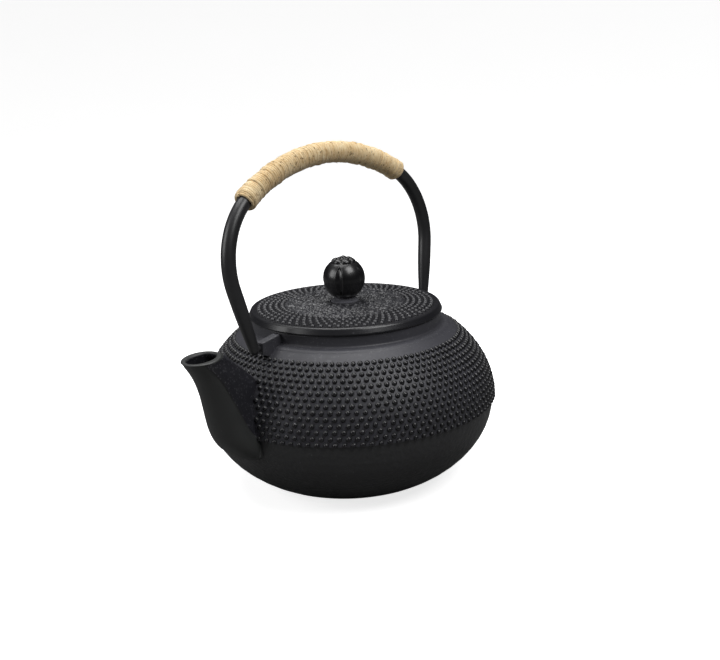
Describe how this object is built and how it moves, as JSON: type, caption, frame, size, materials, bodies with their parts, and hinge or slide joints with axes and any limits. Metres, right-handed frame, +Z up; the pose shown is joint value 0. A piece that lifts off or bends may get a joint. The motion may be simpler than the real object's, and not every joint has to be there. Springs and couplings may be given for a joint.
{
  "type": "teapot",
  "caption": "Round cast-iron teapot with a dimpled upper half, a short spout, a flat lift-off lid with a ball knob, a wound-grip bail that folds down and a drop-in steel infuser.",
  "frame": {"origin": "centre of the flat base, on the surface the pot stands on", "axes": "+Z up along the pot's axis; the spout points to -X; the bail's pivot axis lies along X"},
  "size_m": [0.199, 0.165, 0.1897],
  "materials": {
    "pot_iron": "satin black over rough cast iron",
    "lid_iron": "satin black cast iron with a patterned top",
    "bail_iron": "smooth satin black",
    "knob_lacquer": "semi-gloss black",
    "jute": "twisted jute twine, close wound",
    "fastener_steel": "zinc-plated steel",
    "infuser_steel": "stainless sheet with fine perforations"
  },
  "bodies": {
    "pot": {"pot_bowl": "pot_iron", "pot_shoulder": "pot_iron", "pot_neck": "pot_iron", "spout": "pot_iron"},
    "bail": {"bail_rod": "bail_iron", "grip_wrap": "jute"},
    "infuser": {"infuser_rim": "infuser_steel", "infuser_tube": "infuser_steel", "infuser_base": "infuser_steel"},
    "lid": {"lid_plate": "lid_iron", "lid_skirt": "lid_iron", "knob_collar": "lid_iron", "knob_ball": "knob_lacquer", "knob_screw": "fastener_steel", "spring_washer": "fastener_steel", "flat_washer": "fastener_steel"}
  },
  "joints": [
    {"name": "bail_swing", "type": "hinge", "parent": "pot", "child": "bail", "pos_m": [0, 0, 0.0898], "axis": [1, 0, 0], "range_deg": [-78, 92]},
    {"name": "infuser_lift", "type": "slide", "parent": "pot", "child": "infuser", "axis": [0, 0, 1], "range_m": [0, 0.045]},
    {"name": "lid_lift", "type": "slide", "parent": "infuser", "child": "lid", "axis": [0, 0, 1], "range_m": [0, 0.045]}
  ]
}
